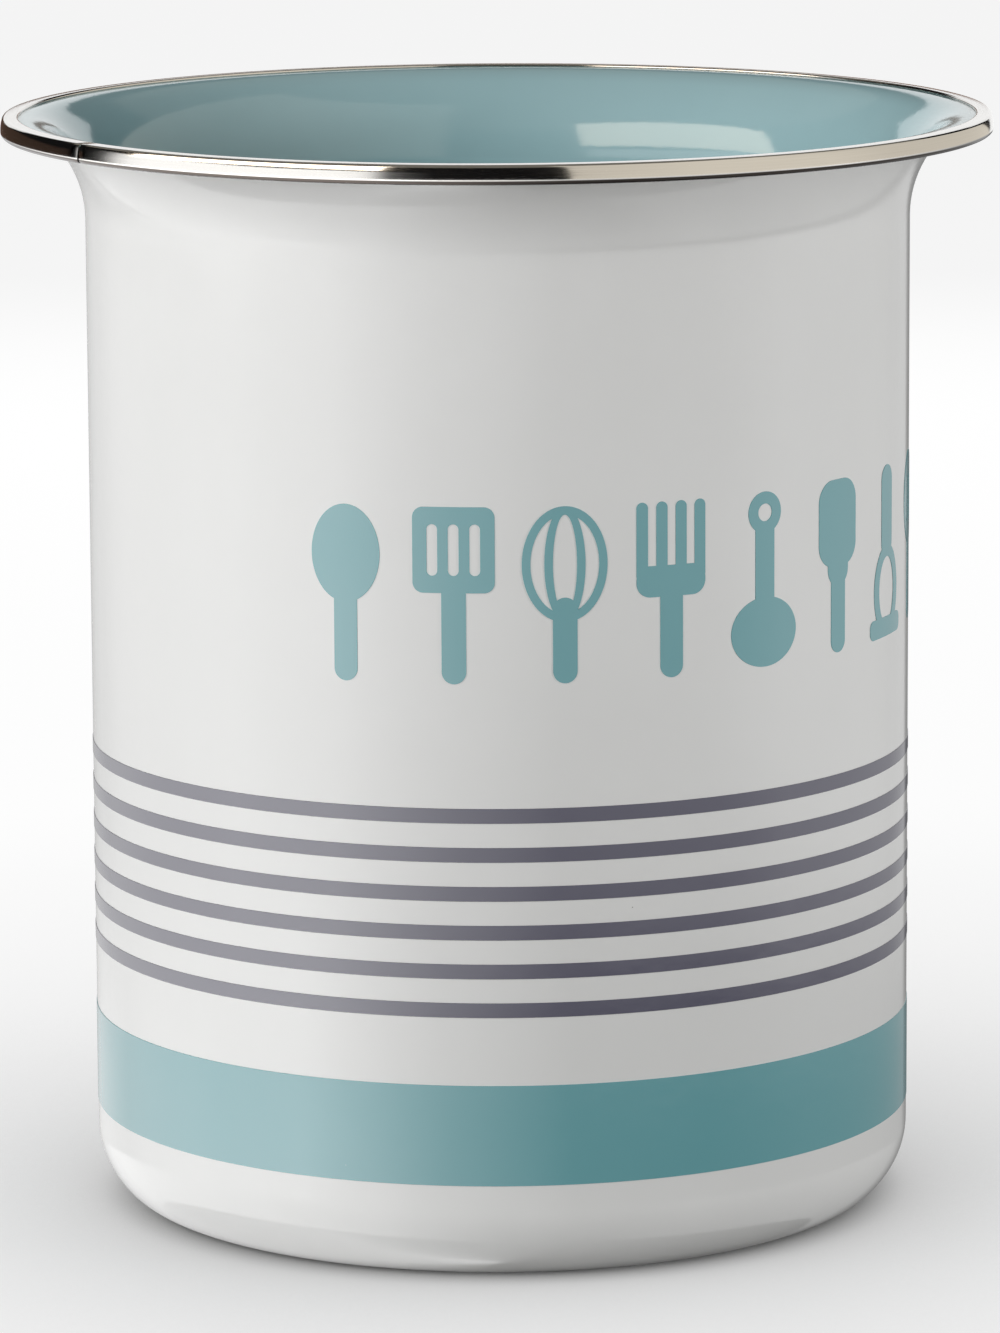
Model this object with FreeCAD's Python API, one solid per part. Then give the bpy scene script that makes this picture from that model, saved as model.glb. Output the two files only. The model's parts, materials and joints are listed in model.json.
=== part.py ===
import FreeCAD, Part
import math
import os

# A utensil crock: a deep-drawn steel pot, enamelled white outside and blue inside, with a flared lip,
# a stainless band crimped over the lip, and a fired-on print of stripes, a band and kitchen tools.
# Frame: origin at the middle of the base, +Z up, the row of kitchen tools faces -Y. Millimetres.

# Pot
overall_height = 167.0
body_radius = 62.5            # outside of the white enamel on the straight wall
foot_reach = 9.4              # how far the rounded foot draws in
foot_rise = 11.4              # height of the rounded foot
flare_reach = 8.8             # how far the wall turns out below the lip
flare_rise = 14.0             # height of that turn
foot_flat_width = 4.3         # flat ring that the pot stands on
base_panel_lift = 1.0         # the middle of the underside is raised
base_panel_bend = 6.0         # radius of the two bends around the raised middle

# Wall, from the inside of the pot to the outside
blue_thickness = 0.25
ground_thickness = 0.1        # dark first coat, on each side of the steel
steel_thickness = 0.7
white_thickness = 0.25

# Rim band
band_thickness = 0.4
band_flange = 2.0             # flat strip on top of the lip
band_setback = 1.1            # from the end of the flare to the inner edge of that strip
band_corner_inside = 0.1      # inside radius between the strip and the outer face
band_roll_inside = 0.25       # inside radius of the lower edge, which is rolled in and up
band_roll_rise = 0.5          # straight end of the roll, which meets the lip from below
band_joint_gap = 0.45         # butt joint of the two ends
lip_clearance = 0.15          # edge of the lip to the inside of the band
band_corner_turn = 72.0       # degrees turned by the corner, and then by the bulging outer face
band_face_turn = 20.0
band_joint_azimuth = -85.4    # degrees from the front, to the right as seen

# Print, each height counted from the piece below it
film_thickness = 0.08
aqua_band_above_foot = 3.8
aqua_band_height = 15.1
stripe_above_aqua_band = 10.2
stripe_height = 2.2
stripe_pitch = 5.79
stripe_count = 6
motif_above_stripes = 18.4
motif_height = 26.0
motif_pitch = 16.2            # along the wall, from one tool to the next
handle_width = 3.6
cut_overrun = 2.0

# Tools of the print
slot_count = 3
slot_width_share = 0.5        # of the pitch of the slots
spoon_width = 10.6
spoon_length = 14.4
spoon_slot_pitch_share = 0.26     # of the spoon's width
spoon_slot_length_share = 0.49    # of the spoon's length
turner_width = 12.0
turner_length = 12.6
turner_corner_share = 0.13        # of the turner's width
turner_slot_pitch_share = 0.26
turner_slot_length_share = 0.6    # of the turner's length
fork_width = 11.0
fork_shoulder = 4.6               # height of the solid part of the fork's head
fork_corner_share = 0.46          # of the fork's shoulder
fork_tine_length = 9.4
fork_tine_count = 4
fork_tine_width_share = 0.16      # of the fork's width
whisk_width = 12.6
whisk_length = 17.0
whisk_inner_share = 0.48          # of the whisk's width
whisk_wire_width = 1.25
ladle_width = 12.4
ladle_length = 10.4
ladle_eye_width = 6.2
ladle_eye_hole_share = 0.42       # of the eye's width
scraper_width = 9.6
scraper_length = 13.0
scraper_corner_share = 0.35       # of the scraper's width
scraper_neck_width = 5.2
scraper_neck_length = 3.0
masher_width = 13.0
masher_plate_height = 3.0
masher_corner_share = 0.4         # of the plate's height
masher_loop_width = 10.2
masher_loop_length = 14.0
masher_loop_wire = 1.9
masher_grip_width = 4.6

# Levels and radii that follow from the sizes above
wall_thickness = white_thickness + 2 * ground_thickness + steel_thickness + blue_thickness
lip_top = overall_height - band_thickness
lip_underside = lip_top - wall_thickness
flare_end_radius = body_radius + flare_reach
lip_width = band_setback + band_flange - lip_clearance
aqua_band_low = foot_rise + aqua_band_above_foot
stripes_low = aqua_band_low + aqua_band_height + stripe_above_aqua_band
stripes_high = stripes_low + (stripe_count - 1) * stripe_pitch + stripe_height
motif_low = stripes_high + motif_above_stripes
motif_high = motif_low + motif_height

BEND_SPLIT = 45.0             # degrees where the first arc of a two-arc bend meets the second
QUARTER = 90.0
ORIGIN = FreeCAD.Vector(0, 0, 0)
UP = FreeCAD.Vector(0, 0, 1)


def section_point(radius, height):
    """Point of a half section in the XZ plane."""
    return FreeCAD.Vector(radius, 0, height)


def run(length):
    """Straight step of a section line."""
    return ("run", length, 0.0)


def bend(radius, degrees):
    """Round step of a section line: positive turns left, negative turns right."""
    return ("bend", radius, math.radians(degrees))


def arc_offset(radius, side, heading):
    """From the centre of a bend to the point on it where the walk has this heading."""
    return section_point(side * radius * math.sin(heading), -side * radius * math.cos(heading))


def section_line(start_radius, start_height, steps, depth):
    """Edges walked from a start that heads outwards, shifted to the left by depth."""
    heading = 0.0
    here = section_point(start_radius, start_height + depth)
    edges = []
    for kind, size, turn in steps:
        if kind == "run":
            there = here + section_point(size * math.cos(heading), size * math.sin(heading))
            edges.append(Part.LineSegment(here, there).toShape())
        else:
            side = math.copysign(1, turn)
            radius = size - side * depth
            centre = here - arc_offset(radius, side, heading)
            middle = centre + arc_offset(radius, side, heading + turn / 2)
            heading += turn
            there = centre + arc_offset(radius, side, heading)
            edges.append(Part.Arc(here, middle, there).toShape())
        here = there
    return edges


def two_arc_bend(along, across):
    """Radii of two tangent arcs, split at 45 degrees, that turn a quarter over unequal distances.

    The first arc follows the direction of along, the second that of across."""
    sine = math.sin(math.radians(BEND_SPLIT))
    rest = 1 - sine
    scale = sine ** 2 - rest ** 2
    first = (along * sine - across * rest) / scale
    second = (across * sine - along * rest) / scale
    return first, second


def pot_steps():
    """Walk along the outside of the pot, from the middle of the underside to the edge of the lip."""
    panel_turn = math.degrees(math.acos(1 - base_panel_lift / (2 * base_panel_bend)))
    panel_run = 2 * base_panel_bend * math.sin(math.radians(panel_turn))
    panel_radius = body_radius - foot_reach - foot_flat_width - panel_run
    foot_low_radius, foot_high_radius = two_arc_bend(foot_reach, foot_rise)
    flare_low_radius, flare_high_radius = two_arc_bend(flare_rise, flare_reach)
    wall_height = lip_underside - foot_rise - flare_rise
    return [
        run(panel_radius),
        bend(base_panel_bend, -panel_turn),
        bend(base_panel_bend, panel_turn),
        run(foot_flat_width),
        bend(foot_low_radius, BEND_SPLIT),
        bend(foot_high_radius, QUARTER - BEND_SPLIT),
        run(wall_height),
        bend(flare_low_radius, -BEND_SPLIT),
        bend(flare_high_radius, BEND_SPLIT - QUARTER),
        run(lip_width),
    ]


def closed_face(first_edges, second_edges):
    """Face between two section lines, closed at both ends."""
    starts = [edges[0].firstVertex(True).Point for edges in (first_edges, second_edges)]
    ends = [edges[-1].lastVertex(True).Point for edges in (first_edges, second_edges)]
    closing = [Part.LineSegment(*starts).toShape(), Part.LineSegment(*ends).toShape()]
    ordered = Part.__sortEdges__(first_edges + second_edges + closing)
    return Part.Face(Part.Wire(ordered))


def pot_layer(outer_depth, thickness):
    """One layer of the pot's wall, a whole turn of its section."""
    steps = pot_steps()
    outer = section_line(0, base_panel_lift, steps, outer_depth)
    inner = section_line(0, base_panel_lift, steps, outer_depth + thickness)
    return closed_face(outer, inner).revolve(ORIGIN, UP, 360)


def rim_band_steps():
    """Walk down the outside of the rim band: strip, corner, bulging face, roll and rise to the lip."""
    corner_radius = band_corner_inside + band_thickness
    roll_radius = band_roll_inside + band_thickness
    face_start = math.radians(band_corner_turn)
    face_end = math.radians(band_corner_turn + band_face_turn)
    roll_turn = 3 * QUARTER - band_corner_turn - band_face_turn
    corner_drop = corner_radius * (1 - math.cos(face_start))
    roll_climb = -roll_radius * math.cos(face_end)
    face_drop = band_thickness + wall_thickness + band_roll_rise + roll_climb - corner_drop
    face_radius = face_drop / (math.cos(face_start) - math.cos(face_end))
    return [
        run(band_flange),
        bend(corner_radius, -band_corner_turn),
        bend(face_radius, -band_face_turn),
        bend(roll_radius, -roll_turn),
        run(band_roll_rise),
    ]


def rim_band():
    """Stainless strip folded over the lip, just short of a whole turn so that its ends leave a joint."""
    steps = rim_band_steps()
    inner_edge = flare_end_radius + band_setback
    outside = section_line(inner_edge, overall_height, steps, 0)
    inside = section_line(inner_edge, overall_height, steps, -band_thickness)
    joint_turn = math.degrees(band_joint_gap / (inner_edge + band_flange))
    strip = closed_face(outside, inside).revolve(ORIGIN, UP, 360 - joint_turn)
    strip.rotate(ORIGIN, UP, band_joint_azimuth - QUARTER + joint_turn / 2)
    return strip


def film_ring(low, height):
    """Ring of print on the straight wall."""
    outer = Part.makeCylinder(body_radius + film_thickness, height, section_point(0, low))
    return outer.cut(Part.makeCylinder(body_radius, height, section_point(0, low)))


def through_wall(edges):
    """Flat outline in the XZ plane, drawn out to -Y past the print."""
    reach = body_radius + film_thickness + cut_overrun
    return Part.Face(Part.Wire(edges)).extrude(FreeCAD.Vector(0, -reach, 0))


def bar(across, low, high, width):
    """Upright bar with round ends."""
    half = width / 2
    left, right = across - half, across + half
    points = [section_point(left, low + half), section_point(left, high - half), section_point(across, high),
              section_point(right, high - half), section_point(right, low + half), section_point(across, low)]
    return through_wall([
        Part.LineSegment(points[0], points[1]).toShape(),
        Part.Arc(points[1], points[2], points[3]).toShape(),
        Part.LineSegment(points[3], points[4]).toShape(),
        Part.Arc(points[4], points[5], points[0]).toShape(),
    ])


def oval(middle, width, length):
    """Ellipse on the centre line, round the given height."""
    side = section_point(width / 2, middle)
    tip = section_point(0, middle + length / 2)
    longer, shorter = (tip, side) if length >= width else (side, tip)
    return through_wall([Part.Ellipse(longer, shorter, section_point(0, middle)).toShape()])


def disc(middle, width):
    """Circle on the centre line, round the given height."""
    towards_y = FreeCAD.Vector(0, 1, 0)
    return through_wall([Part.Circle(section_point(0, middle), towards_y, width / 2).toShape()])


def plate(low, high, width, corner):
    """Rectangle with rounded corners on the centre line."""
    reach = body_radius + film_thickness + cut_overrun
    block = Part.makeBox(width, reach, high - low, FreeCAD.Vector(-width / 2, -reach, low))
    upright_corners = [edge for edge in block.Edges if edge.BoundBox.YLength > reach / 2]
    return block.makeFillet(corner, upright_corners)


def spread(count, pitch):
    """Places of evenly spaced copies about the centre line."""
    return [(index - (count - 1) / 2) * pitch for index in range(count)]


def slots(middle, length, pitch):
    """Upright slots side by side."""
    low, high = middle - length / 2, middle + length / 2
    return [bar(across, low, high, slot_width_share * pitch) for across in spread(slot_count, pitch)]


def spoon():
    middle = motif_high - spoon_length / 2
    return oval(middle, spoon_width, spoon_length).fuse(bar(0, motif_low, middle, handle_width))


def slotted_spoon():
    middle = motif_high - spoon_length / 2
    slot_length = spoon_slot_length_share * spoon_length
    return spoon().cut(slots(middle, slot_length, spoon_slot_pitch_share * spoon_width))


def turner():
    low = motif_high - turner_length
    head = plate(low, motif_high, turner_width, turner_corner_share * turner_width)
    slot_length = turner_slot_length_share * turner_length
    slot_pitch = turner_slot_pitch_share * turner_width
    head = head.cut(slots(motif_high - turner_length / 2, slot_length, slot_pitch))
    handle_end = low + (turner_length - slot_length) / 2
    return head.fuse(bar(0, motif_low, handle_end, handle_width))


def fork():
    shoulder_top = motif_high - fork_tine_length
    head = plate(shoulder_top - fork_shoulder, shoulder_top, fork_width, fork_corner_share * fork_shoulder)
    tine_width = fork_tine_width_share * fork_width
    tine_pitch = (fork_width - tine_width) / (fork_tine_count - 1)
    tines = [bar(across, shoulder_top - fork_shoulder / 2, motif_high, tine_width)
             for across in spread(fork_tine_count, tine_pitch)]
    return head.fuse(tines + [bar(0, motif_low, shoulder_top, handle_width)])


def whisk():
    middle = motif_high - whisk_length / 2
    wires = []
    for width in (whisk_width, whisk_inner_share * whisk_width):
        hollow = oval(middle, width - 2 * whisk_wire_width, whisk_length - 2 * whisk_wire_width)
        wires.append(oval(middle, width, whisk_length).cut(hollow))
    grip = bar(0, motif_low, motif_high - whisk_length + handle_width, handle_width)
    return wires[0].fuse([wires[1], grip])


def ladle():
    bowl = oval(motif_low + ladle_length / 2, ladle_width, ladle_length)
    eye_middle = motif_high - ladle_eye_width / 2
    stem = bar(0, motif_low + ladle_length / 2, eye_middle, handle_width)
    eye = disc(eye_middle, ladle_eye_width)
    return bowl.fuse([stem, eye]).cut(disc(eye_middle, ladle_eye_hole_share * ladle_eye_width))


def scraper():
    head_low = motif_high - scraper_length
    head = plate(head_low, motif_high, scraper_width, scraper_corner_share * scraper_width)
    neck = bar(0, head_low - scraper_neck_length, head_low + scraper_neck_width, scraper_neck_width)
    return head.fuse([neck, bar(0, motif_low, head_low, handle_width)])


def masher():
    corner = masher_corner_share * masher_plate_height
    foot = plate(motif_low, motif_low + masher_plate_height, masher_width, corner)
    middle = motif_low + masher_loop_length / 2
    hollow = oval(middle, masher_loop_width - 2 * masher_loop_wire, masher_loop_length - 2 * masher_loop_wire)
    loop = oval(middle, masher_loop_width, masher_loop_length).cut(hollow)
    grip = bar(0, motif_low + masher_loop_length - masher_loop_wire, motif_high, masher_grip_width)
    return foot.fuse([loop, grip])


def film_motif(outline, azimuth):
    """The part of a flat outline that lies in the print on the wall, turned to its place."""
    film = film_ring(motif_low - cut_overrun, motif_height + 2 * cut_overrun).common(outline).removeSplitter()
    film.rotate(ORIGIN, UP, azimuth)
    return film


def make_nodes():
    """Every piece of the crock by name."""
    nodes = {}
    depth = 0
    for name, thickness in (("outer_white_coat", white_thickness), ("outer_ground_coat", ground_thickness),
                            ("steel_body", steel_thickness), ("inner_ground_coat", ground_thickness),
                            ("inner_blue_coat", blue_thickness)):
        nodes[name] = pot_layer(depth, thickness)
        depth += thickness
    nodes["rim_band"] = rim_band()
    nodes["aqua_band"] = film_ring(aqua_band_low, aqua_band_height)
    for index in range(stripe_count):
        nodes[f"navy_stripe_{index + 1}"] = film_ring(stripes_low + index * stripe_pitch, stripe_height)
    tools = [spoon, turner, whisk, fork, ladle, scraper, masher, slotted_spoon]
    pitch_turn = math.degrees(motif_pitch / body_radius)
    for tool, azimuth in zip(tools, spread(len(tools), pitch_turn)):
        nodes[f"print_{tool.__name__}"] = film_motif(tool(), azimuth)
    return nodes


os.makedirs("parts", exist_ok=True)
for name, shape in make_nodes().items():
    shape.exportStep(f"parts/{name}.step")
    print(name, shape.ShapeType, len(shape.Solids), shape.isValid(), round(shape.Volume, 2))
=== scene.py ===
import json
import math

import bmesh
import bpy
from mathutils import Matrix, Vector, geometry


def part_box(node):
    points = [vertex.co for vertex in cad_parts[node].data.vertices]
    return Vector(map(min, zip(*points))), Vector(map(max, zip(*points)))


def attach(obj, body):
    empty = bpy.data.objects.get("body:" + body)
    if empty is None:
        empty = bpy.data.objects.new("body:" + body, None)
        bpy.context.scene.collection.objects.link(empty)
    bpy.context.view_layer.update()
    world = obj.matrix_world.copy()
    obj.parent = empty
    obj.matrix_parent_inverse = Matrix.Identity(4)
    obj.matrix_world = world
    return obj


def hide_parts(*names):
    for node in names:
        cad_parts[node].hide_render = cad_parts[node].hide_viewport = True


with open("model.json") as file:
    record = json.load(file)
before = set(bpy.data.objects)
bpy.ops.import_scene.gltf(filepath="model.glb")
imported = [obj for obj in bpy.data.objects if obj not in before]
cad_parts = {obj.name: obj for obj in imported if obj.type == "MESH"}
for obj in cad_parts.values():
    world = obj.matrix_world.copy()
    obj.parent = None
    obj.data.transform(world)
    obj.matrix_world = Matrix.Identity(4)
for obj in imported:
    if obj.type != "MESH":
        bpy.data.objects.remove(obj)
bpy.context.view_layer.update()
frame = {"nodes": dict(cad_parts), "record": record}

# Utensil crock: an enamelled steel pot with a stainless rim band and a fired-on print.
# Metres and radians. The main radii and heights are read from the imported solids.

# Pot
FOOT_REACH = 0.0094             # how far the rounded foot draws in
FOOT_RISE = 0.0114
FOOT_FLAT_WIDTH = 0.0043        # flat ring that the pot stands on
FLARE_REACH = 0.0088            # how far the wall turns out below the lip
FLARE_RISE = 0.0140
PANEL_LIFT = 0.0010             # the middle of the underside is raised
PANEL_BEND = 0.0060
COAT_THICKNESS = 0.00025        # white coat outside, blue coat inside
FILM_THICKNESS = 0.00008        # fired-on print
FILM_EDGE = 0.00003             # rounding of the print's edges

# Rim band
BAND_THICKNESS = 0.0004
BAND_FLANGE = 0.0020
BAND_SETBACK = 0.0011           # from the end of the flare to the inner edge of the band
BAND_CORNER_INSIDE = 0.0001
BAND_ROLL_INSIDE = 0.00025
BAND_ROLL_RISE = 0.0005
BAND_EDGE_ROUND = 0.00032       # rounding of the band's inner edge
BAND_CUT_EDGE = 0.00006         # rounding of the band's other cut edges
BAND_JOINT_GAP = 0.00045
BAND_JOINT_BEARING = math.radians(-85.4)
BAND_CORNER_TURN = math.radians(72)
BAND_FACE_TURN = math.radians(20)
BAND_CROWN_TURN = math.radians(5)       # the top of the band falls away slightly towards its corner

# Fineness of the shapes
QUARTER_TURN = math.pi / 2
BEND_SPLIT = math.pi / 4        # where the first arc of a two-arc bend meets the second
BEND_STEPS = 12
ROUND_STEPS = 288               # segments around the pot
EDGE_STEPS = 3                  # segments of a rounded edge
MERGE_GAP = 0.000001
SMOOTH_LIMIT = math.radians(35)

# Levels and radii from the solids
white_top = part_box("outer_white_coat")[1]
blue_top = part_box("inner_blue_coat")[1]
band_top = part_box("rim_band")[1].z
band_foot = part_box("rim_band")[0].z
body_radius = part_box("aqua_band")[1].x - FILM_THICKNESS
lip_radius = white_top.x
lip_underside = white_top.z - COAT_THICKNESS
wall_thickness = blue_top.z - lip_underside
flare_end_radius = body_radius + FLARE_REACH


# Section lines

def run(length):
    """Straight step of a section line."""
    return ("run", length, 0.0)


def bend(radius, turn):
    """Round step of a section line: positive turns left, negative turns right."""
    return ("bend", radius, turn)


def draw_line(shape, start, steps, depth=0.0, heading=0.0):
    """Draws a section line in the XZ plane, shifted left by depth. A heading of 0 is outwards."""
    end = bmesh.ops.create_vert(shape, co=start + Vector((0, 0, depth)))["vert"][0]
    for kind, size, turn in steps:
        if kind == "run":
            end = bmesh.ops.extrude_vert_indiv(shape, verts=[end])["verts"][0]
            step = Vector((math.cos(heading), 0, math.sin(heading))) * size
            bmesh.ops.translate(shape, verts=[end], vec=step)
        else:
            side = math.copysign(1, turn)
            inward = Vector((-math.sin(heading), 0, math.cos(heading))) * side
            centre = end.co + inward * (size - side * depth)
            arc = bmesh.ops.spin(shape, geom=[end], cent=centre, axis=(0, -1, 0),
                                 angle=turn, steps=BEND_STEPS)
            end = next(part for part in arc["geom_last"] if isinstance(part, bmesh.types.BMVert))
            heading += turn


def revolve(shape, turn, steps):
    """Turns the drawn line about the pot's axis."""
    bmesh.ops.spin(shape, geom=shape.verts[:] + shape.edges[:], cent=(0, 0, 0), axis=(0, 0, 1),
                   angle=turn, steps=steps, use_merge=math.isclose(turn, math.tau))
    bmesh.ops.remove_doubles(shape, verts=shape.verts, dist=MERGE_GAP)
    bmesh.ops.recalc_face_normals(shape, faces=shape.faces)


def two_arc_bend(along, across):
    """Radii of two tangent arcs that together turn a quarter over unequal distances."""
    sine = math.sin(BEND_SPLIT)
    rest = 1 - sine
    scale = sine ** 2 - rest ** 2
    return (along * sine - across * rest) / scale, (across * sine - along * rest) / scale


def pot_steps():
    """From the middle of the underside, round the foot and up the wall, to the edge of the lip."""
    panel_turn = math.acos(1 - PANEL_LIFT / (2 * PANEL_BEND))
    panel_run = 2 * PANEL_BEND * math.sin(panel_turn)
    foot_low_radius, foot_high_radius = two_arc_bend(FOOT_REACH, FOOT_RISE)
    flare_low_radius, flare_high_radius = two_arc_bend(FLARE_RISE, FLARE_REACH)
    return [
        run(body_radius - FOOT_REACH - FOOT_FLAT_WIDTH - panel_run),
        bend(PANEL_BEND, -panel_turn),
        bend(PANEL_BEND, panel_turn),
        run(FOOT_FLAT_WIDTH),
        bend(foot_low_radius, BEND_SPLIT),
        bend(foot_high_radius, QUARTER_TURN - BEND_SPLIT),
        run(lip_underside - FOOT_RISE - FLARE_RISE),
        bend(flare_low_radius, -BEND_SPLIT),
        bend(flare_high_radius, BEND_SPLIT - QUARTER_TURN),
        run(lip_radius - flare_end_radius),
    ]


def band_steps():
    """Outside of the rim band: up the inner edge, flange, corner, bulging face, roll and rise to the lip."""
    corner_radius = BAND_CORNER_INSIDE + BAND_THICKNESS
    roll_radius = BAND_ROLL_INSIDE + BAND_THICKNESS
    face_end = BAND_CORNER_TURN + BAND_FACE_TURN
    crown_radius = (BAND_FLANGE - BAND_EDGE_ROUND) / BAND_CROWN_TURN
    crown_drop = crown_radius * (1 - math.cos(BAND_CROWN_TURN))
    corner_drop = corner_radius * (math.cos(BAND_CROWN_TURN) - math.cos(BAND_CORNER_TURN))
    roll_climb = -roll_radius * math.cos(face_end)
    face_drop = BAND_THICKNESS + wall_thickness + BAND_ROLL_RISE + roll_climb - corner_drop - crown_drop
    face_radius = face_drop / (math.cos(BAND_CORNER_TURN) - math.cos(face_end))
    return [
        run(BAND_THICKNESS - BAND_EDGE_ROUND),
        bend(BAND_EDGE_ROUND, -QUARTER_TURN),
        bend(crown_radius, -BAND_CROWN_TURN),
        bend(corner_radius, BAND_CROWN_TURN - BAND_CORNER_TURN),
        bend(face_radius, -BAND_FACE_TURN),
        bend(roll_radius, face_end - 3 * QUARTER_TURN),
        run(BAND_ROLL_RISE),
    ]


# Finishes: scales of noise are per metre

ENAMEL_IOR = 1.55
ENAMEL_SMOOTH = 0.07            # roughness of the enamel at its glossiest
ENAMEL_ROUGH = 0.13             # and at its dullest
PEEL_SCALE = 520.0
WAVE_SCALE = 70.0
CLOUD_SCALE = 24.0
CLOUD_DETAIL = 4.0
SPECK_SCALE = 140.0
LARGEST_SPECK = 0.045           # in cells
LINES_AROUND_SCALE = 60.0       # polishing lines are long around the pot
LINES_ACROSS_SCALE = 9000.0     # and lie close together across it
LINES_DETAIL = 3.0
FINE_NOISE_SHARE = 0.6          # how much each finer layer adds to the clouds and the lines
NOISE_LOW = 0.3                 # most of a noise lies between these two
NOISE_HIGH = 0.7
# Painted shade: the foot of the rim band is coloured dark where it is crimped onto the enamel, standing in
# for the crease's shadow
CRIMP_PAINTED_SHADE = (0.045, 0.038, 0.034)
CRIMP_LINE_LOW = 0.00055        # above the foot of the rim band: below this it is all painted shade
CRIMP_LINE_HIGH = 0.00080       # and above this it is bright
MIX_COLOUR_INPUTS = (6, 7)      # a Mix node's colour sockets share their names with its others
MIX_COLOUR_OUTPUT = 2


def rgba(colour):
    """Opaque colour for a node's socket."""
    return (*colour, 1.0)


def add(tree, kind, **settings):
    """New node with its settings."""
    node = tree.nodes.new(kind)
    for name, value in settings.items():
        setattr(node, name, value)
    return node


def object_place(tree):
    """Object coordinates."""
    return add(tree, "ShaderNodeTexCoord").outputs["Object"]


def split_axes(tree, vector):
    """X, Y and Z of a vector."""
    node = add(tree, "ShaderNodeSeparateXYZ")
    tree.links.new(vector, node.inputs["Vector"])
    return node.outputs


def noise(tree, vector, scale, detail=2.0, roughness=0.5):
    """Cloudy value, mostly near the middle of 0 to 1."""
    node = add(tree, "ShaderNodeTexNoise")
    node.inputs["Scale"].default_value = scale
    node.inputs["Detail"].default_value = detail
    node.inputs["Roughness"].default_value = roughness
    tree.links.new(vector, node.inputs["Vector"])
    return node.outputs["Fac"]


def arithmetic(tree, operation, first, second=0.0):
    """Math node on sockets or numbers."""
    node = add(tree, "ShaderNodeMath", operation=operation)
    for socket, value in zip(node.inputs, (first, second)):
        if isinstance(value, bpy.types.NodeSocket):
            tree.links.new(value, socket)
        else:
            socket.default_value = value
    return node.outputs["Value"]


def spread_between(tree, value, low, high, to_low, to_high):
    """Maps a value from one range to another, and stops at the ends."""
    node = add(tree, "ShaderNodeMapRange")
    node.inputs["From Min"].default_value = low
    node.inputs["From Max"].default_value = high
    node.inputs["To Min"].default_value = to_low
    node.inputs["To Max"].default_value = to_high
    tree.links.new(value, node.inputs["Value"])
    return node.outputs["Result"]


def blend_colours(tree, mask, first, second):
    """Colour that goes from the first to the second as the mask goes from 0 to 1."""
    node = add(tree, "ShaderNodeMix", data_type="RGBA")
    tree.links.new(mask, node.inputs["Factor"])
    for place, colour in zip(MIX_COLOUR_INPUTS, (first, second)):
        if isinstance(colour, bpy.types.NodeSocket):
            tree.links.new(colour, node.inputs[place])
        else:
            node.inputs[place].default_value = rgba(colour)
    return node.outputs[MIX_COLOUR_OUTPUT]


def new_group(name, inputs, outputs):
    """Shader node group with named number sockets: returns its tree, its input node and its output node."""
    tree = bpy.data.node_groups.new(name, "ShaderNodeTree")
    for direction, sockets in (("INPUT", inputs), ("OUTPUT", outputs)):
        for socket in sockets:
            tree.interface.new_socket(socket, in_out=direction, socket_type="NodeSocketFloat")
    return tree, add(tree, "NodeGroupInput"), add(tree, "NodeGroupOutput")


def fired_glaze_group():
    """Surface of fired enamel: orange peel, slow waves, cloudy tone and a rare speck."""
    inputs = ("Peel Depth", "Wave Depth", "Speck Share")
    tree, given, result = new_group("fired_glaze", inputs, ("Height", "Tone", "Speck"))
    place = object_place(tree)
    peel = arithmetic(tree, "MULTIPLY", noise(tree, place, PEEL_SCALE), given.outputs["Peel Depth"])
    wave = arithmetic(tree, "MULTIPLY", noise(tree, place, WAVE_SCALE), given.outputs["Wave Depth"])
    tree.links.new(arithmetic(tree, "ADD", peel, wave), result.inputs["Height"])
    clouds = noise(tree, place, CLOUD_SCALE, CLOUD_DETAIL, FINE_NOISE_SHARE)
    tree.links.new(clouds, result.inputs["Tone"])
    cells = add(tree, "ShaderNodeTexVoronoi")
    cells.inputs["Scale"].default_value = SPECK_SCALE
    tree.links.new(place, cells.inputs["Vector"])
    pick = add(tree, "ShaderNodeSeparateColor")
    tree.links.new(cells.outputs["Color"], pick.inputs["Color"])
    chosen = arithmetic(tree, "LESS_THAN", pick.outputs["Red"], given.outputs["Speck Share"])
    size = arithmetic(tree, "MULTIPLY", pick.outputs["Green"], LARGEST_SPECK)
    near = arithmetic(tree, "LESS_THAN", cells.outputs["Distance"], size)
    tree.links.new(arithmetic(tree, "MULTIPLY", chosen, near), result.inputs["Speck"])
    return tree


def polish_lines_group():
    """Fine lines that polishing or drawing leaves around a metal piece."""
    tree, given, result = new_group("polish_lines", ("Line Depth",), ("Height", "Lines"))
    axes = split_axes(tree, object_place(tree))
    across = arithmetic(tree, "MULTIPLY", axes["X"], axes["X"])
    along = arithmetic(tree, "MULTIPLY", axes["Y"], axes["Y"])
    radius = arithmetic(tree, "SQRT", arithmetic(tree, "ADD", across, along))
    level = arithmetic(tree, "ADD", radius, axes["Z"])
    ring = add(tree, "ShaderNodeCombineXYZ")
    for axis in ("X", "Y"):
        tree.links.new(arithmetic(tree, "MULTIPLY", axes[axis], LINES_AROUND_SCALE), ring.inputs[axis])
    tree.links.new(arithmetic(tree, "MULTIPLY", level, LINES_ACROSS_SCALE), ring.inputs["Z"])
    lines = noise(tree, ring.outputs["Vector"], 1.0, LINES_DETAIL, FINE_NOISE_SHARE)
    tree.links.new(lines, result.inputs["Lines"])
    tree.links.new(arithmetic(tree, "MULTIPLY", lines, given.outputs["Line Depth"]), result.inputs["Height"])
    return tree


def use_group(tree, group, **values):
    """Places a node group in a material with its own values."""
    node = add(tree, "ShaderNodeGroup", node_tree=group)
    for name, value in values.items():
        node.inputs[name.replace("_", " ")].default_value = value
    return node.outputs


def start_material(name):
    """Material with its one shader: returns the material, its tree and the shader's inputs."""
    material = bpy.data.materials.new(name)
    material.use_nodes = True
    tree = material.node_tree
    return material, tree, tree.nodes["Principled BSDF"].inputs


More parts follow.
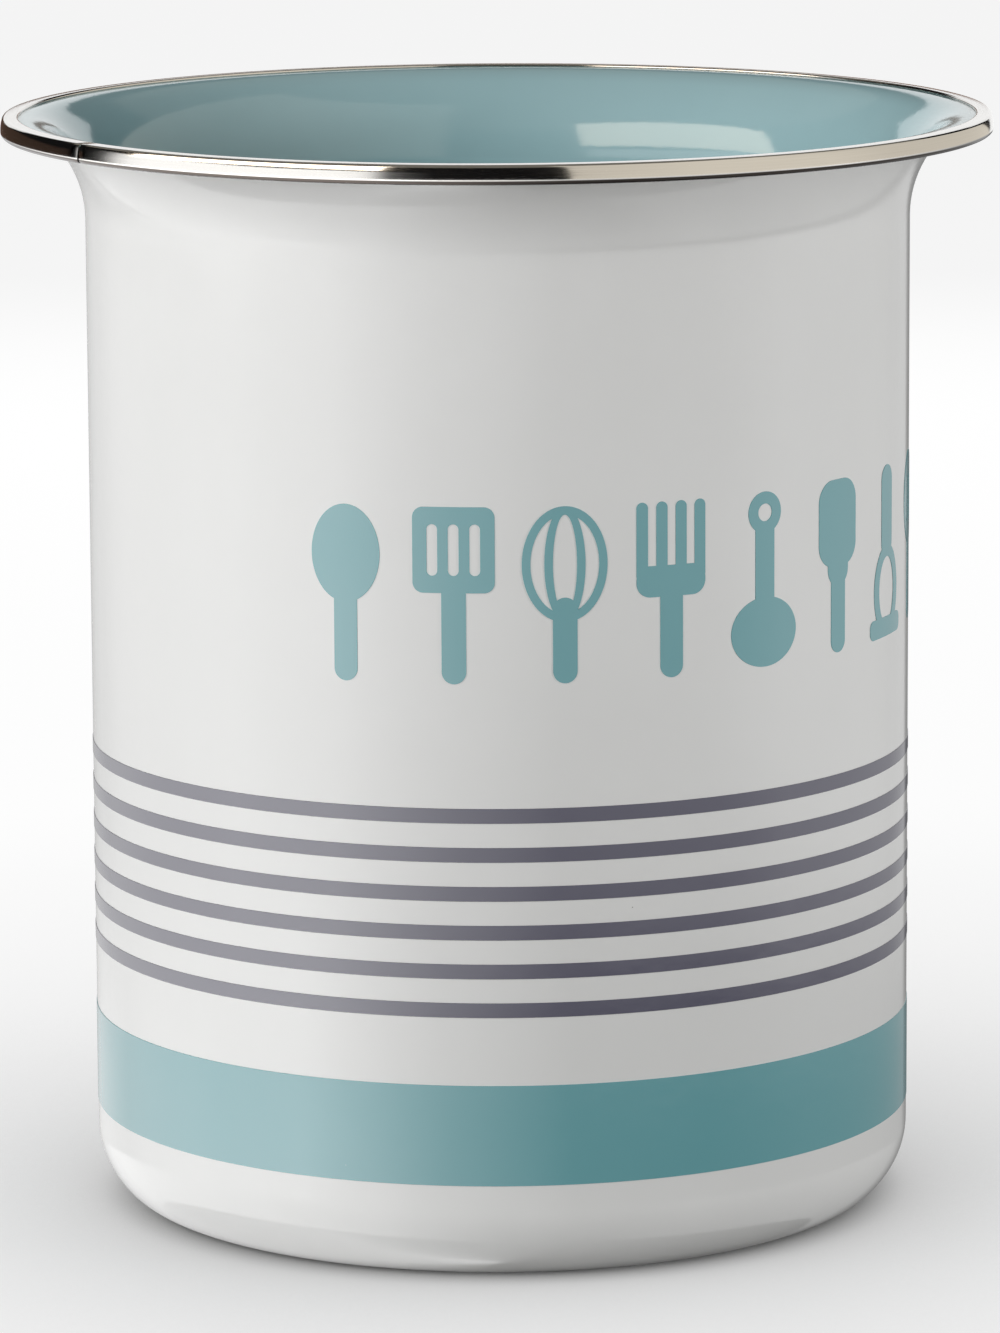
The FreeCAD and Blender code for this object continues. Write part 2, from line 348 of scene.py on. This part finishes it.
def set_relief(tree, inputs, height):
    """Height in metres to the shader's normal."""
    bump = add(tree, "ShaderNodeBump")
    bump.inputs["Distance"].default_value = 1.0
    tree.links.new(height, bump.inputs["Height"])
    tree.links.new(bump.outputs["Normal"], inputs["Normal"])


def enamel(name, light, deep, speck, speck_share, peel_depth, wave_depth):
    """Gloss vitreous enamel between two close tones."""
    material, tree, inputs = start_material(name)
    inputs["IOR"].default_value = ENAMEL_IOR
    glaze = use_group(tree, fired_glaze, Peel_Depth=peel_depth, Wave_Depth=wave_depth,
                      Speck_Share=speck_share)
    tone = spread_between(tree, glaze["Tone"], NOISE_LOW, NOISE_HIGH, 0.0, 1.0)
    colour = blend_colours(tree, glaze["Speck"], blend_colours(tree, tone, light, deep), speck)
    tree.links.new(colour, inputs["Base Color"])
    dullness = spread_between(tree, glaze["Tone"], NOISE_LOW, NOISE_HIGH, ENAMEL_SMOOTH, ENAMEL_ROUGH)
    tree.links.new(dullness, inputs["Roughness"])
    set_relief(tree, inputs, glaze["Height"])
    return material


def metal(name, light, deep, smooth, rough, line_depth, crimp_shade_levels=()):
    """Bare steel with fine lines around the pot. Painted shade of the crimp crease on its foot fades out
    between two levels.
    """
    material, tree, inputs = start_material(name)
    inputs["Metallic"].default_value = 1.0
    polish = use_group(tree, polish_lines, Line_Depth=line_depth)
    colour = blend_colours(tree, polish["Lines"], light, deep)
    # Painted shade: the steel turns dark below a level, standing in for the shadow in the crimp crease
    if crimp_shade_levels:
        level = split_axes(tree, object_place(tree))["Z"]
        painted_shade = spread_between(tree, level, *crimp_shade_levels, 1.0, 0.0)
        colour = blend_colours(tree, painted_shade, colour, CRIMP_PAINTED_SHADE)
    tree.links.new(colour, inputs["Base Color"])
    dullness = spread_between(tree, polish["Lines"], NOISE_LOW, NOISE_HIGH, smooth, rough)
    tree.links.new(dullness, inputs["Roughness"])
    set_relief(tree, inputs, polish["Height"])
    return material


fired_glaze = fired_glaze_group()
polish_lines = polish_lines_group()
finishes = {
    "white_enamel": enamel(
        "white_enamel_gloss", light=(0.86, 0.86, 0.845), deep=(0.83, 0.83, 0.815),
        speck=(0.30, 0.29, 0.28), speck_share=0.012, peel_depth=0.000010, wave_depth=0.00003),
    "blue_enamel": enamel(
        "blue_enamel_gloss", light=(0.475, 0.705, 0.740), deep=(0.440, 0.670, 0.705),
        speck=(0.12, 0.17, 0.18), speck_share=0.02, peel_depth=0.000014, wave_depth=0.00003),
    "aqua_print": enamel(
        "aqua_print_gloss", light=(0.158, 0.410, 0.445), deep=(0.145, 0.388, 0.422),
        speck=(0.40, 0.58, 0.60), speck_share=0.03, peel_depth=0.000010, wave_depth=0.00003),
    "navy_print": enamel(
        "navy_print_gloss", light=(0.097, 0.094, 0.140), deep=(0.085, 0.081, 0.126),
        speck=(0.12, 0.12, 0.15), speck_share=0.02, peel_depth=0.000010, wave_depth=0.00003),
    "ground_enamel": enamel(
        "ground_enamel_dark", light=(0.030, 0.034, 0.050), deep=(0.020, 0.023, 0.036),
        speck=(0.08, 0.09, 0.11), speck_share=0.05, peel_depth=0.000006, wave_depth=0.00002),
    "polished_stainless": metal(
        "polished_stainless", light=(0.68, 0.665, 0.64), deep=(0.60, 0.585, 0.56), smooth=0.07, rough=0.12,
        line_depth=0.0000004, crimp_shade_levels=(band_foot + CRIMP_LINE_LOW, band_foot + CRIMP_LINE_HIGH)),
    "drawn_steel": metal(
        "drawn_steel", light=(0.44, 0.44, 0.45), deep=(0.36, 0.36, 0.37), smooth=0.25, rough=0.40,
        line_depth=0.000002),
}


# Pieces

def new_piece(name, shape, slot, *nodes):
    """Object from a modelled shape, standing for the solids of the same piece."""
    mesh = bpy.data.meshes.new(name)
    shape.to_mesh(mesh)
    shape.free()
    mesh.shade_smooth()
    mesh.set_sharp_from_angle(angle=SMOOTH_LIMIT)
    mesh.materials.append(finishes[slot])
    piece = bpy.data.objects.new(name, mesh)
    bpy.context.scene.collection.objects.link(piece)
    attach(piece, "root")
    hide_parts(*nodes)
    return piece


def thicken(piece, thickness):
    """Gives a sheet its thickness behind the side that shows."""
    wall = piece.modifiers.new("thickness", "SOLIDIFY")
    wall.thickness = thickness
    wall.offset = -1
    wall.use_even_offset = True


def round_edges(piece, width):
    """Rounds the cut edges of a piece."""
    rounding = piece.modifiers.new("cut_edges", "BEVEL")
    rounding.width = width
    rounding.segments = EDGE_STEPS
    rounding.limit_method = "ANGLE"
    rounding.angle_limit = SMOOTH_LIMIT


def enamel_coat(name, slot, node, depth, outside):
    """Coat of enamel on one side of the pot. An open bowl comes out of the turn facing in."""
    shape = bmesh.new()
    draw_line(shape, Vector((0, 0, PANEL_LIFT)), pot_steps(), depth)
    revolve(shape, math.tau, ROUND_STEPS)
    if outside:
        bmesh.ops.reverse_faces(shape, faces=shape.faces)
    thicken(new_piece(name, shape, slot, node), COAT_THICKNESS)


def rim_band():
    """Stainless strip folded over the lip, with a butt joint."""
    shape = bmesh.new()
    inner_edge = flare_end_radius + BAND_SETBACK
    draw_line(shape, Vector((inner_edge, 0, band_top - BAND_THICKNESS)), band_steps(), heading=QUARTER_TURN)
    joint_turn = BAND_JOINT_GAP / (inner_edge + BAND_FLANGE)
    revolve(shape, math.tau - joint_turn, ROUND_STEPS)
    start = Matrix.Rotation(BAND_JOINT_BEARING - QUARTER_TURN + joint_turn / 2, 3, "Z")
    bmesh.ops.rotate(shape, verts=shape.verts, cent=(0, 0, 0), matrix=start)
    band = new_piece("steel_rim_band", shape, "polished_stainless", "rim_band")
    thicken(band, BAND_THICKNESS)
    round_edges(band, BAND_CUT_EDGE)


def print_ring(name, slot, node):
    """Printed ring round the wall, with softly rounded edges."""
    low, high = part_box(node)
    shape = bmesh.new()
    foot = bmesh.ops.create_vert(shape, co=(body_radius + FILM_THICKNESS, 0, low.z))["vert"][0]
    top = bmesh.ops.extrude_vert_indiv(shape, verts=[foot])["verts"]
    bmesh.ops.translate(shape, verts=top, vec=(0, 0, high.z - low.z))
    revolve(shape, math.tau, ROUND_STEPS)
    ring = new_piece(name, shape, slot, node)
    thicken(ring, FILM_THICKNESS)
    round_edges(ring, FILM_EDGE)
    # The narrow rounding must not tilt the shading of the wide face beside it
    ring.modifiers.new("face_shading", "WEIGHTED_NORMAL")


enamel_coat("white_enamel_coat", "white_enamel", "outer_white_coat", depth=0.0, outside=True)
enamel_coat("blue_enamel_lining", "blue_enamel", "inner_blue_coat", depth=wall_thickness, outside=False)
rim_band()
print_ring("aqua_band_print", "aqua_print", "aqua_band")
for stripe in sorted(name for name in frame["nodes"] if name.startswith("navy_stripe_")):
    print_ring(f"{stripe}_print", "navy_print", stripe)

# The printed tools and the hidden layers keep their solids and take the finish of their slot
for subpart in frame["record"]["subparts"]:
    node = frame["nodes"][subpart["node"]]
    for place in node.material_slots:
        place.material = finishes[subpart["material_slot"]]


# Studio: bearings are in degrees about the pot from the camera, positive to the right as seen

CAMERA_AZIMUTH = math.radians(-31)
CAMERA_DISTANCE = 1.1138
CAMERA_HEIGHT = 0.2822
CAMERA_PITCH = math.radians(10.218)
CAMERA_ROLL = math.radians(-0.310)
CAMERA_LENS = 199.15            # millimetres, on the usual 36 mm sensor
LIGHT_DISTANCE = 0.9
CARD_STEPS = 48
RAMP_MIDDLE = 0.5               # place on a colour ramp of the bearing towards the camera
WHITE = (1.0, 1.0, 1.0)
WARM_GREY = (1.0, 0.93, 0.81)
LAMP_WHITE = (1.0, 0.87, 0.72)
BROWN = (1.0, 0.62, 0.45)

# Floor, and the share of light that it throws back by bearing
FLOOR_RADIUS = 9.0
FLOOR_SHINE = 0.86
FLOOR_SHADE_REACH = 0.25
FLOOR_TONE = (0.25, 0.25, 0.25)
FLOOR_BOUNCE_SHARES = ((-178, 0.15), (-140, 0.27), (-100, 0.28), (-50, 0.33), (-20, 0.50), (0, 0.48),
                       (30, 0.22), (70, 0.04), (100, 0.02), (150, 0.06), (178, 0.15))

# Mirrored surroundings: brightness by bearing. The glossy table shows the left wall upside down, so its glow
# hangs below the floor, and the steepest looks at it end on a dimmer disc.
TABLE_RADIUS = 1.35
TABLE_DEPTH = -0.36
TABLE_GLOW = 4.0
TABLE_SHARES = ((-178, 0.10), (-165, 0.17), (-143, 0.32), (-108, 0.76), (-77, 1.20), (-46, 1.24),
                (-12, 0.64), (15, 0.30), (62, 0.34), (85, 0.46), (110, 0.33), (140, 0.19), (158, 0.17),
                (162, 0.04), (178, 0.04))
LOW_GLOW_START = -0.22          # levels between which the table's glow goes over to its low shares
LOW_GLOW_FULL = -0.29
LOW_TABLE_SHARES = ((-178, 0.06), (-160, 0.28), (-130, 0.52), (-94, 1.15), (-57, 1.50), (-36, 1.10),
                    (-16, 0.60), (0, 0.34), (19, 0.07), (59, 0.03), (95, 0.10), (135, 0.10), (158, 0.10),
                    (162, 0.04), (178, 0.04))
STEEP_TABLE_GLOW = 1.0
STEEP_TABLE_SHARES = ((-178, 0.20), (-160, 1.1), (-140, 2.3), (-115, 3.6), (-95, 4.5), (-75, 5.1),
                      (-58, 4.9), (-46, 4.7), (-36, 4.3), (-22, 3.1), (0, 1.5), (20, 0.8), (35, 0.6),
                      (55, 0.9), (110, 0.8), (150, 0.5), (162, 0.2), (178, 0.15))
SHADOW_RADIUS = 0.42
SHADOW_BEARING = -150
SHADOW_SHIFT = 0.16
SHADOW_DEPTH = -0.359
SHADOW_GLOW = 1.0
SHADOW_SHARES = ((-178, 0.15), (-140, 2.0), (-95, 3.2), (-59, 4.0), (-28, 2.6), (0, 1.4), (28, 0.5),
                 (59, 0.2), (95, 0.1), (178, 0.1))
CEILING_RADIUS = 4.0
CEILING_HEIGHT = 2.6
CEILING_GLOW = 0.22
SOFTBOX_GLOW = 4.8
LEFT_WALL_GLOW = 1.55
LEFT_WALL_SHARES = ((-107, 0.0), (-103, 0.02), (-100, 0.08), (-97, 0.38), (-94, 0.72), (-90, 0.93),
                    (-84, 1.0), (-38, 1.0), (-31, 0.94), (-28, 0.75), (-26, 0.38), (-24, 0.10),
                    (-20, 0.04), (-14, 0.0))
WARM_WALL_GLOW = 0.9
WARM_WALL_SHARES = ((15, 0.90), (24, 0.94), (48, 1.03), (80, 1.04), (100, 0.91), (140, 0.87))
WARM_WALL_SLANT = ((158, 0.02), (140, 0.50), (110, 2.02))    # bearing and height of its far end
BACK_WALL_GLOW = 1.05
BROWN_WALL_HEIGHT = 0.265
BROWN_WALL_GLOW = 0.22
BROWN_WALL_SHARES = ((-178, 0.90), (-172, 0.70), (-165, 0.40), (-155, 0.28), (-140, 0.23), (-113, 0.16),
                     (172, 1.0))


def studio_point(bearing, distance, height):
    """Point at a bearing and distance from the pot's axis."""
    azimuth = CAMERA_AZIMUTH + math.radians(bearing)
    return Vector((math.sin(azimuth) * distance, -math.cos(azimuth) * distance, height))


def set_camera():
    """Camera that frames the pot as the photograph does."""
    camera = bpy.data.objects.new("camera", bpy.data.cameras.new("camera"))
    camera.data.lens = CAMERA_LENS
    heading = Matrix.Rotation(CAMERA_AZIMUTH, 4, "Z")
    tilt = Matrix.Rotation(QUARTER_TURN - CAMERA_PITCH, 4, "X")
    roll = Matrix.Rotation(CAMERA_ROLL, 4, "Z")
    place = Matrix.Translation(studio_point(0, CAMERA_DISTANCE, CAMERA_HEIGHT))
    camera.matrix_world = place @ heading @ tilt @ roll
    bpy.context.scene.collection.objects.link(camera)
    bpy.context.scene.camera = camera


def choose_shader(tree, ray, usual, special):
    """Shows the special shader to one kind of ray, and the usual one to all others."""
    choice = add(tree, "ShaderNodeMixShader")
    for socket, source in zip(choice.inputs, (ray, usual, special)):
        tree.links.new(source, socket)
    return choice.outputs["Shader"]


def set_world(light, mirrored, backdrop):
    """Pale surroundings: the light they give, and how bright they look in a mirror and behind the floor."""
    world = bpy.data.worlds.new("studio")
    world.use_nodes = True
    tree = world.node_tree
    rays = add(tree, "ShaderNodeLightPath").outputs
    pale = tree.nodes["Background"]
    pale.inputs["Color"].default_value = rgba(WHITE)
    pale.inputs["Strength"].default_value = light
    seen = pale.outputs["Background"]
    for ray, strength in (("Is Glossy Ray", mirrored), ("Is Camera Ray", backdrop)):
        other = add(tree, "ShaderNodeBackground")
        other.inputs["Color"].default_value = rgba(WHITE)
        other.inputs["Strength"].default_value = strength
        seen = choose_shader(tree, rays[ray], seen, other.outputs["Background"])
    tree.links.new(seen, tree.nodes["World Output"].inputs["Surface"])
    bpy.context.scene.world = world


def soft_light(name, bearing, height, width, tall, power):
    """Soft light aimed at the middle of the pot, kept out of the mirrored picture."""
    data = bpy.data.lights.new(name, "AREA")
    data.shape = "RECTANGLE"
    data.size = width
    data.size_y = tall
    data.energy = power
    light = bpy.data.objects.new(name, data)
    light.location = studio_point(bearing, LIGHT_DISTANCE, height)
    aim = Vector((0, 0, band_top / 2)) - light.location
    light.rotation_euler = aim.to_track_quat("-Z", "Y").to_euler()
    light.visible_glossy = False
    bpy.context.scene.collection.objects.link(light)


def stage_object(name, shape, material):
    """Object of the studio, which is no piece of the pot."""
    mesh = bpy.data.meshes.new(name)
    shape.to_mesh(mesh)
    shape.free()
    mesh.materials.append(material)
    stage = bpy.data.objects.new(name, mesh)
    bpy.context.scene.collection.objects.link(stage)
    return stage


def bare_material(name):
    """Material with no shader yet: returns it, its tree and the socket for its surface."""
    material = bpy.data.materials.new(name)
    material.use_nodes = True
    material.cycles.emission_sampling = "NONE"
    tree = material.node_tree
    tree.nodes.remove(tree.nodes["Principled BSDF"])
    return material, tree, tree.nodes["Material Output"].inputs["Surface"]


def add_emission(tree, strength, surface):
    """Emission on a surface or shader socket: returns the socket for its colour."""
    light = add(tree, "ShaderNodeEmission")
    light.inputs["Strength"].default_value = strength
    tree.links.new(light.outputs["Emission"], surface)
    return light.inputs["Color"]


def glow(name, colour, strength):
    """Evenly bright panel."""
    material, tree, surface = bare_material(name)
    add_emission(tree, strength, surface).default_value = rgba(colour)
    return material


def bearing_ramp(tree, place, colour, bearing_shares):
    """Colour that is scaled by a share for each bearing."""
    turn = add(tree, "ShaderNodeMapping")
    turn.inputs["Rotation"].default_value.z = QUARTER_TURN - CAMERA_AZIMUTH
    tree.links.new(place, turn.inputs["Vector"])
    around = add(tree, "ShaderNodeTexGradient", gradient_type="RADIAL")
    tree.links.new(turn.outputs["Vector"], around.inputs["Vector"])
    ramp = add(tree, "ShaderNodeValToRGB")
    tree.links.new(around.outputs["Fac"], ramp.inputs["Fac"])
    steps = ramp.color_ramp.elements
    while len(steps) < len(bearing_shares):
        steps.new(RAMP_MIDDLE)
    for step, (bearing, share) in zip(steps, bearing_shares):
        step.position = math.radians(bearing) / math.tau + RAMP_MIDDLE
        step.color = rgba(share * part for part in colour)
    return ramp.outputs["Color"]


def graded_glow(name, colour, strength, bearing_shares, low_shares=()):
    """Glow that changes with the bearing, and to other shares towards its lower edge."""
    material, tree, surface = bare_material(name)
    place = object_place(tree)
    seen = bearing_ramp(tree, place, colour, bearing_shares)
    if low_shares:
        level = split_axes(tree, place)["Z"]
        sunk = spread_between(tree, level, LOW_GLOW_START, LOW_GLOW_FULL, 0.0, 1.0)
        seen = blend_colours(tree, sunk, seen, bearing_ramp(tree, place, colour, low_shares))
    tree.links.new(seen, add_emission(tree, strength, surface))
    return material


def mirrored_only(stage):
    """Keeps a card in the mirrored picture alone."""
    stage.visible_camera = False
    stage.visible_diffuse = False
    stage.visible_transmission = False
    stage.visible_shadow = False


def flat_card(name, material, bearing, distance, left, right, low, high):
    """Upright flat panel that faces the pot."""
    shape = bmesh.new()
    corner = bmesh.ops.create_vert(shape, co=(left, 0, low))["vert"]
    side = bmesh.ops.extrude_vert_indiv(shape, verts=corner)
    bmesh.ops.translate(shape, verts=side["verts"], vec=(0, 0, high - low))
    sheet = bmesh.ops.extrude_edge_only(shape, edges=side["edges"])["geom"]
    moved = [part for part in sheet if isinstance(part, bmesh.types.BMVert)]
    bmesh.ops.translate(shape, verts=moved, vec=(right - left, 0, 0))
    turn = Matrix.Rotation(CAMERA_AZIMUTH + math.radians(bearing), 3, "Z")
    bmesh.ops.rotate(shape, verts=shape.verts, cent=(0, 0, 0), matrix=turn)
    bmesh.ops.translate(shape, verts=shape.verts, vec=studio_point(bearing, distance, 0.0))
    mirrored_only(stage_object(name, shape, material))


def curved_card(name, material, first, last, low, high, slant=()):
    """Upright panel bent round the table between two bearings. Three points of a slant cut its far end."""
    shape = bmesh.new()
    foot = bmesh.ops.create_vert(shape, co=studio_point(first, TABLE_RADIUS, low))["vert"]
    side = bmesh.ops.extrude_vert_indiv(shape, verts=foot)
    bmesh.ops.translate(shape, verts=side["verts"], vec=(0, 0, high - low))
    bmesh.ops.spin(shape, geom=shape.verts[:] + shape.edges[:], cent=(0, 0, 0), axis=(0, 0, 1),
                   angle=math.radians(last - first), steps=CARD_STEPS)
    if slant:
        points = [studio_point(bearing, TABLE_RADIUS, height) for bearing, height in slant]
        bmesh.ops.bisect_plane(shape, geom=shape.verts[:] + shape.edges[:] + shape.faces[:],
                               plane_co=points[0], plane_no=geometry.normal(points), clear_inner=True)
    mirrored_only(stage_object(name, shape, material))


def level_card(name, material, radius, centre):
    """Round level panel below or above the pot."""
    shape = bmesh.new()
    bmesh.ops.create_circle(shape, cap_ends=True, radius=radius, segments=CARD_STEPS)
    bmesh.ops.translate(shape, verts=shape.verts, vec=centre)
    mirrored_only(stage_object(name, shape, material))


def pale_floor():
    """Floor that looks pale, softly shaded round the foot, and throws part of its light back on the pot."""
    shape = bmesh.new()
    bmesh.ops.create_circle(shape, cap_ends=True, radius=FLOOR_RADIUS, segments=CARD_STEPS)
    material, tree, surface = bare_material("pale_floor")
    looks = add(tree, "ShaderNodeAddShader")
    shine_socket, matt_socket = looks.inputs
    shade = add(tree, "ShaderNodeAmbientOcclusion")
    shade.inputs["Distance"].default_value = FLOOR_SHADE_REACH
    tree.links.new(shade.outputs["Color"], add_emission(tree, FLOOR_SHINE, shine_socket))
    matt = add(tree, "ShaderNodeBsdfDiffuse")
    matt.inputs["Color"].default_value = rgba(FLOOR_TONE)
    tree.links.new(matt.outputs["BSDF"], matt_socket)
    bounce = add(tree, "ShaderNodeBsdfDiffuse")
    bounce_shade = bearing_ramp(tree, object_place(tree), WHITE, FLOOR_BOUNCE_SHARES)
    tree.links.new(bounce_shade, bounce.inputs["Color"])
    camera_ray = add(tree, "ShaderNodeLightPath").outputs["Is Camera Ray"]
    seen = choose_shader(tree, camera_ray, bounce.outputs["BSDF"], looks.outputs["Shader"])
    tree.links.new(seen, surface)
    floor = stage_object("pale_floor", shape, material)
    floor.visible_glossy = False


set_camera()
set_world(light=0.17, mirrored=0.008, backdrop=0.95)
pale_floor()
soft_light("key_light", bearing=-52, height=0.5, width=1.0, tall=0.6, power=6.15)
soft_light("low_fill", bearing=70, height=0.1, width=0.3, tall=0.3, power=4.3)
soft_light("back_fill", bearing=180, height=0.5, width=0.6, tall=0.6, power=1.5)
flat_card("softbox", glow("softbox", LAMP_WHITE, SOFTBOX_GLOW),
          bearing=-42, distance=0.8, left=-0.92, right=0.23, low=0.41, high=0.84)
curved_card("table_glow", graded_glow("table_glow", WHITE, TABLE_GLOW, TABLE_SHARES, LOW_TABLE_SHARES),
            first=-180, last=180, low=TABLE_DEPTH, high=0.0)
level_card("table_steep", graded_glow("table_steep", WHITE, STEEP_TABLE_GLOW, STEEP_TABLE_SHARES),
           TABLE_RADIUS, Vector((0, 0, TABLE_DEPTH)))
level_card("pot_shadow", graded_glow("pot_shadow", WHITE, SHADOW_GLOW, SHADOW_SHARES),
           SHADOW_RADIUS, studio_point(SHADOW_BEARING, SHADOW_SHIFT, SHADOW_DEPTH))
level_card("ceiling", glow("ceiling", WARM_GREY, CEILING_GLOW),
           CEILING_RADIUS, Vector((0, 0, CEILING_HEIGHT)))
curved_card("white_wall_left", graded_glow("white_wall_left", WHITE, LEFT_WALL_GLOW, LEFT_WALL_SHARES),
            first=-113, last=-14, low=0.0, high=0.50)
curved_card("warm_wall_right", graded_glow("warm_wall_right", WARM_GREY, WARM_WALL_GLOW, WARM_WALL_SHARES),
            first=16, last=170, low=0.0, high=2.4, slant=WARM_WALL_SLANT)
back_wall_glow = glow("white_wall_back", WHITE, BACK_WALL_GLOW)
curved_card("white_wall_back", back_wall_glow, first=156, last=207, low=BROWN_WALL_HEIGHT, high=0.60)
curved_card("white_wall_corner", back_wall_glow, first=158, last=172, low=0.0, high=BROWN_WALL_HEIGHT)
curved_card("brown_wall_back", graded_glow("brown_wall_back", BROWN, BROWN_WALL_GLOW, BROWN_WALL_SHARES),
            first=172, last=247, low=0.0, high=BROWN_WALL_HEIGHT)
bpy.context.scene.view_settings.view_transform = "Standard"
